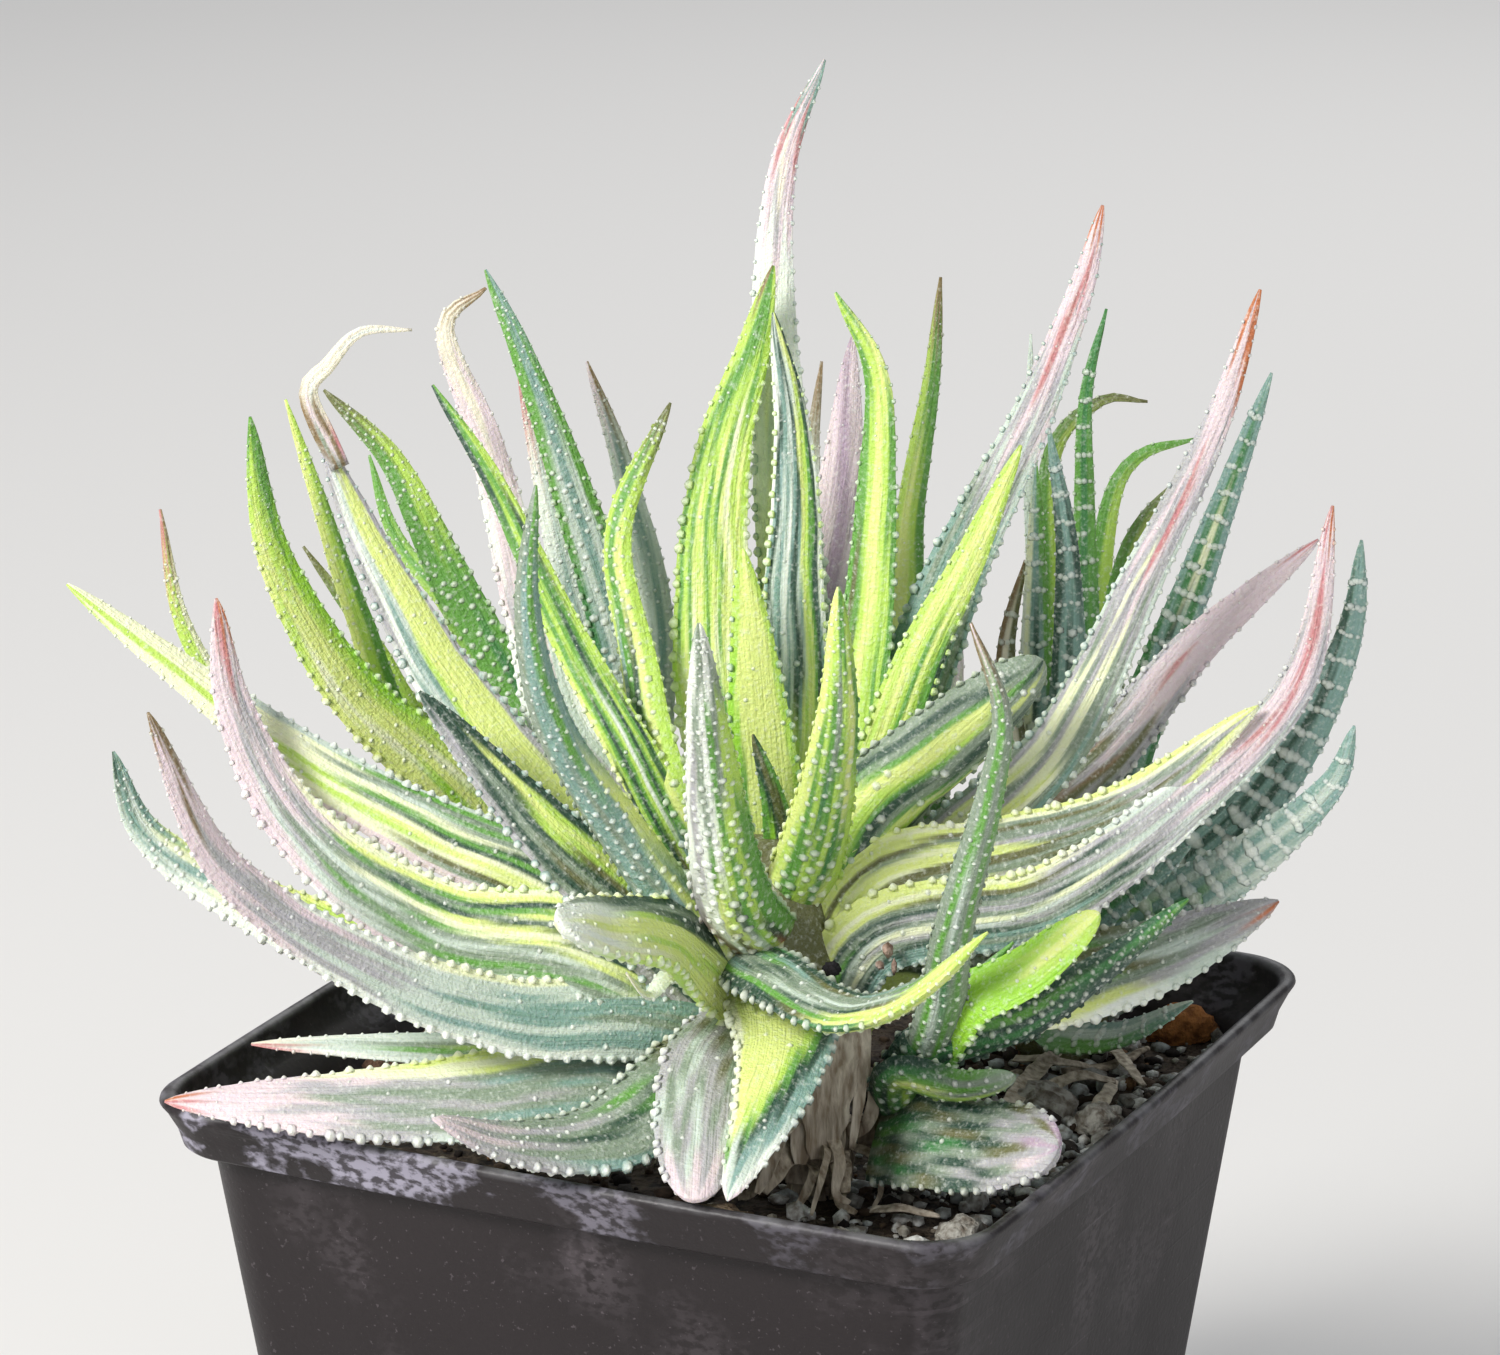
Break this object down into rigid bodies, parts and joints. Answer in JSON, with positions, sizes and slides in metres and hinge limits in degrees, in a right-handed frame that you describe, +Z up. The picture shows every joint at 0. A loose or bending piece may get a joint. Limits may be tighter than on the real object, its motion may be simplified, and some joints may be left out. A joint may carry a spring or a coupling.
{
  "type": "potted haworthia",
  "caption": "Clump of variegated haworthia with pale-dotted tapering leaves, with small offsets beside it, growing in a square dark plastic nursery pot.",
  "frame": {"origin": "middle of the pot's base, on the surface it stands on", "axes": "+Z up; X and Y along the sides of the square pot, with the most leaves over the -Y side"},
  "size_m": [0.1151, 0.1153, 0.1791],
  "materials": {
    "pot_plastic": "matte brown-black moulded plastic with limescale on the rim band",
    "potting_mix": "dark gritty potting mix",
    "pumice": "rough pale pumice",
    "bark": "weathered bark chips",
    "dry_leaf": "papery dry leaf strips",
    "old_stem": "fibrous grey-beige dried stem",
    "variegated_leaf": "satin leaves, lime, cream, grey-green and pink, with white tubercles",
    "lime_leaf": "satin lime and blue-green leaves with pale tubercles",
    "banded_leaf": "satin dark green leaves with pale cross bands",
    "young_leaf": "glossy young dark green leaves with white dots"
  },
  "bodies": {
    "root": {"pot": "pot_plastic", "soil": "potting_mix", "pumice_1": "pumice", "pumice_2": "pumice", "pumice_3": "pumice", "pumice_4": "pumice", "pumice_5": "pumice", "bark_1": "bark", "bark_2": "bark", "bark_3": "bark", "bark_4": "bark", "bark_5": "bark", "bark_6": "bark", "straw_1": "dry_leaf", "straw_2": "dry_leaf", "stem": "old_stem", "main_rosette": "variegated_leaf", "rear_left_offset": "lime_leaf", "rear_right_offset": "banded_leaf", "front_offset": "young_leaf"}
  },
  "joints": []
}
